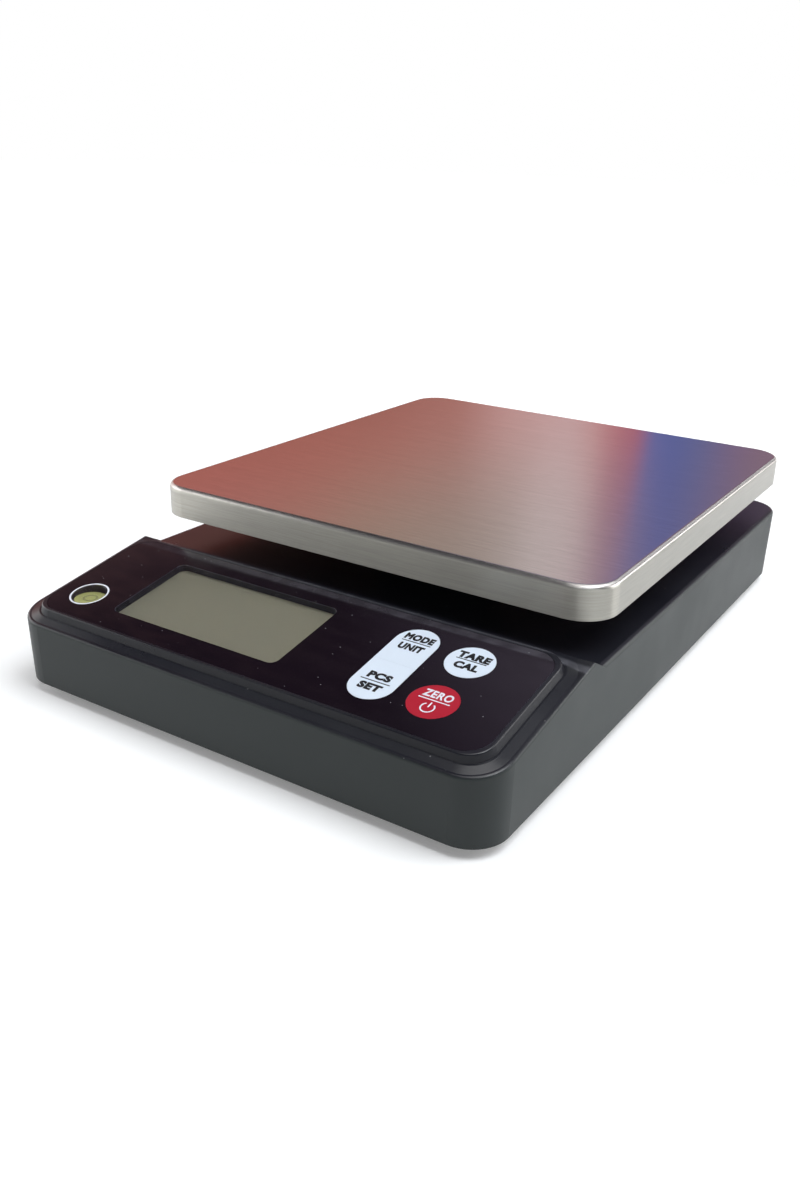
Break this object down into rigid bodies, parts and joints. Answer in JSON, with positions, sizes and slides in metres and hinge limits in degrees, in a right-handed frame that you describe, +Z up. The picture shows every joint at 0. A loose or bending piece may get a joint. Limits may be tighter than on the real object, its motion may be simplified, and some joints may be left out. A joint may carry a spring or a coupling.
{
  "type": "counting scale",
  "caption": "Low bench counting scale: sloped key and display panel in front, flat deck behind, square steel pan on a single load cell, levelling feet.",
  "frame": {"origin": "on the table, under the middle of the scale's footprint, at the height of the feet's rubber pads", "axes": "+Z up, +Y from the panel at the front to the rear of the pan, +X to the user's right"},
  "size_m": [0.18, 0.2549, 0.0548],
  "materials": {
    "housing_plastic": "satin moulded ABS, dark grey-green",
    "lower_plastic": "fine-textured black ABS",
    "overlay_film": "glossy near-black printed film",
    "clear_window": "clear acrylic",
    "display_glass": "grey-green reflective display",
    "key_white": "white printed film with black legends",
    "key_red": "red printed film with white legends",
    "inner_plastic": "moulded black plastic",
    "elastomer": "matt",
    "vial_acrylic": "clear acrylic",
    "vial_liquid": "yellow-green liquid",
    "circuit_board": "green solder mask",
    "chip_resin": "matt black resin",
    "crystal_can": "drawn can",
    "socket_nylon": "natural nylon",
    "screw_steel": "zinc plated",
    "cell_aluminium": "milled, clear anodised",
    "gauge_silicone": "white silicone",
    "plate_steel": "plain steel",
    "support_plastic": "black ABS",
    "pad_rubber": "matt",
    "pan_steel": "stainless sheet, brushed from side to side",
    "battery_jacket": "printed jacket",
    "contact_steel": "nickel plated",
    "insert_brass": "turned",
    "foot_plastic": "moulded nylon",
    "foot_rubber": "matt",
    "cable_jacket": "PVC",
    "lead_red": "PVC"
  },
  "bodies": {
    "housing": {"upper_housing": "housing_plastic", "lower_housing": "lower_plastic", "panel_overlay": "overlay_film", "lcd_window": "clear_window", "level_window": "clear_window", "lcd_glass": "display_glass", "lcd_frame": "inner_plastic", "lcd_connectors": "elastomer", "level_vial": "vial_acrylic", "level_cap": "vial_acrylic", "level_fluid": "vial_liquid", "main_board": "circuit_board", "mcu_chip": "chip_resin", "adc_chip": "chip_resin", "crystal": "crystal_can", "board_sockets": "socket_nylon", "board_screws": "screw_steel", "key_switches": "inner_plastic", "load_cell": "cell_aluminium", "gauge_covers": "gauge_silicone", "load_cell_plate": "plate_steel", "load_cell_screws": "screw_steel", "overload_stop_screw": "screw_steel", "batteries": "battery_jacket", "battery_springs": "contact_steel", "battery_plates": "contact_steel", "housing_screws": "screw_steel", "foot_inserts": "insert_brass", "load_cell_cable": "cable_jacket", "battery_lead_red": "lead_red", "battery_lead_black": "cable_jacket"},
    "platform": {"pan_support": "support_plastic", "support_spacer": "plate_steel", "pan_support_screws": "screw_steel", "support_pads": "pad_rubber"},
    "pan": {"weighing_pan": "pan_steel"},
    "battery_door": {"battery_door": "lower_plastic"},
    "mode_key": {"key_mode": "key_white", "plunger_mode": "inner_plastic"},
    "pcs_key": {"key_pcs": "key_white", "plunger_pcs": "inner_plastic"},
    "tare_key": {"key_tare": "key_white", "plunger_tare": "inner_plastic"},
    "zero_key": {"key_zero": "key_red", "plunger_zero": "inner_plastic"},
    "foot_1": {"foot_pad_1": "foot_rubber"},
    "foot_wheel_1": {"foot_screw_1": "foot_plastic"},
    "foot_2": {"foot_pad_2": "foot_rubber"},
    "foot_wheel_2": {"foot_screw_2": "foot_plastic"},
    "foot_3": {"foot_pad_3": "foot_rubber"},
    "foot_wheel_3": {"foot_screw_3": "foot_plastic"},
    "foot_4": {"foot_pad_4": "foot_rubber"},
    "foot_wheel_4": {"foot_screw_4": "foot_plastic"}
  },
  "joints": [
    {"name": "platform_travel", "type": "slide", "parent": "housing", "child": "platform", "axis": [0, 0, 1], "range_m": [-0.0005, 0], "stiffness_N_per_m": 40000, "springref_m": 0.00015, "deforming": ["load_cell"]},
    {"name": "pan_lift", "type": "slide", "parent": "platform", "child": "pan", "axis": [0, 0, 1], "range_m": [0, 0.03]},
    {"name": "press_mode", "type": "slide", "parent": "housing", "child": "mode_key", "axis": [0, -0.1736, 0.9848], "range_m": [-0.0003, 0], "stiffness_N_per_m": 3000},
    {"name": "press_pcs", "type": "slide", "parent": "housing", "child": "pcs_key", "axis": [0, -0.1736, 0.9848], "range_m": [-0.0003, 0], "stiffness_N_per_m": 3000},
    {"name": "press_tare", "type": "slide", "parent": "housing", "child": "tare_key", "axis": [0, -0.1736, 0.9848], "range_m": [-0.0003, 0], "stiffness_N_per_m": 3000},
    {"name": "press_zero", "type": "slide", "parent": "housing", "child": "zero_key", "axis": [0, -0.1736, 0.9848], "range_m": [-0.0003, 0], "stiffness_N_per_m": 3000},
    {"name": "battery_door_hinge", "type": "hinge", "parent": "housing", "child": "battery_door", "pos_m": [-0.05, 0.0263, 0.004], "axis": [1, 0, 0], "range_deg": [0, 75]},
    {"name": "foot_lift_1", "type": "slide", "parent": "housing", "child": "foot_1", "axis": [0, 0, -1], "range_m": [0, 0.004]},
    {"name": "foot_turn_1", "type": "hinge", "parent": "foot_1", "child": "foot_wheel_1", "pos_m": [-0.068, -0.104, 0.003], "axis": [0, 0, -1], "range_deg": [0, 1440]},
    {"name": "foot_lift_2", "type": "slide", "parent": "housing", "child": "foot_2", "axis": [0, 0, -1], "range_m": [0, 0.004]},
    {"name": "foot_turn_2", "type": "hinge", "parent": "foot_2", "child": "foot_wheel_2", "pos_m": [0.068, -0.104, 0.003], "axis": [0, 0, -1], "range_deg": [0, 1440]},
    {"name": "foot_lift_3", "type": "slide", "parent": "housing", "child": "foot_3", "axis": [0, 0, -1], "range_m": [0, 0.004]},
    {"name": "foot_turn_3", "type": "hinge", "parent": "foot_3", "child": "foot_wheel_3", "pos_m": [-0.068, 0.104, 0.003], "axis": [0, 0, -1], "range_deg": [0, 1440]},
    {"name": "foot_lift_4", "type": "slide", "parent": "housing", "child": "foot_4", "axis": [0, 0, -1], "range_m": [0, 0.004]},
    {"name": "foot_turn_4", "type": "hinge", "parent": "foot_4", "child": "foot_wheel_4", "pos_m": [0.068, 0.104, 0.003], "axis": [0, 0, -1], "range_deg": [0, 1440]}
  ],
  "couplings": [
    {"joint": "foot_turn_1", "follows": "foot_lift_1", "rad_per_m": 6283.2},
    {"joint": "foot_turn_2", "follows": "foot_lift_2", "rad_per_m": 6283.2},
    {"joint": "foot_turn_3", "follows": "foot_lift_3", "rad_per_m": 6283.2},
    {"joint": "foot_turn_4", "follows": "foot_lift_4", "rad_per_m": 6283.2}
  ]
}
